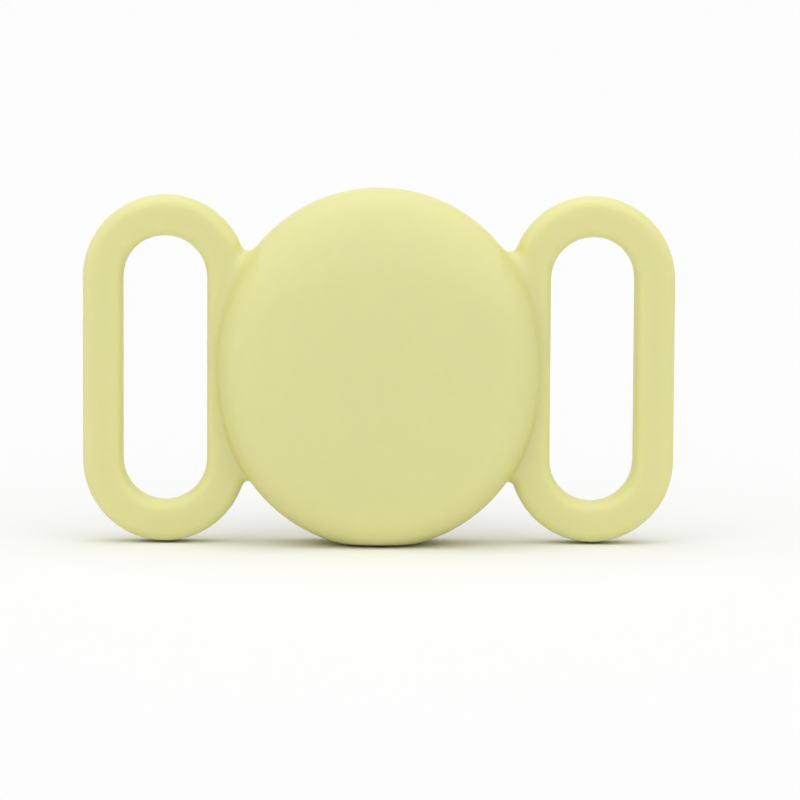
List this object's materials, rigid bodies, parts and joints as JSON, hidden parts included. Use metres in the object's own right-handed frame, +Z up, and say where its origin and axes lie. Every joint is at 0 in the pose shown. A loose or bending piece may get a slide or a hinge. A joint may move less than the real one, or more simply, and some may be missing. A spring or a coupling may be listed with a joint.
{
  "type": "tracker tag holder",
  "caption": "Soft moulded holder with a pillow-shaped pod and an oblong strap loop on each side, holding a coin-shaped tracker tag with a twist-off battery cover.",
  "frame": {"origin": "centre of the part's box in X and Y, on the floor under the pod's small flat foot", "axes": "+X along the length from the left loop to the right loop, +Y from the plain front to the open back, +Z up"},
  "size_m": [0.063, 0.0106, 0.0378],
  "materials": {
    "silicone": "satin, soft to the touch",
    "white_plastic": "gloss",
    "frame_plastic": "fine matt",
    "board_laminate": "solder mask",
    "chip_resin": "matt",
    "passive_ceramic": "matt",
    "tinned_steel": "tinned",
    "copper": "bare copper",
    "plain_steel": "zinc plated",
    "plated_magnet": "nickel plated",
    "contact_metal": "gold flash",
    "cell_steel": "satin",
    "cell_cap": "satin",
    "cell_seal": "matt",
    "ring_plastic": "matt",
    "cover_steel": "fine circular brushing",
    "gasket_rubber": "matt"
  },
  "bodies": {
    "holder": {"holder_sleeve": "silicone"},
    "tag": {"front_shell": "white_plastic", "inner_frame": "frame_plastic", "main_board": "board_laminate", "board_chips": "chip_resin", "board_passives": "passive_ceramic", "chip_shield": "tinned_steel", "clock_crystal": "tinned_steel", "antenna_strips": "copper", "speaker_yoke": "plain_steel", "speaker_magnet": "plated_magnet", "pole_plate": "plain_steel", "voice_coil": "copper", "positive_contacts": "contact_metal", "negative_contact": "contact_metal", "coin_cell_can": "cell_steel", "coin_cell_cap": "cell_cap", "coin_cell_seal": "cell_seal"},
    "cover": {"battery_cover": "cover_steel", "bayonet_ring": "ring_plastic", "cover_gasket": "gasket_rubber"}
  },
  "joints": [
    {"name": "tag_slide", "type": "slide", "parent": "holder", "child": "tag", "axis": [0, 1, 0], "range_m": [0, 0.012], "deforming": ["holder_sleeve"]},
    {"name": "cover_turn", "type": "hinge", "parent": "tag", "child": "cover", "pos_m": [0, 0.004, 0.01875], "axis": [0, 1, 0], "range_deg": [0, 20]}
  ]
}
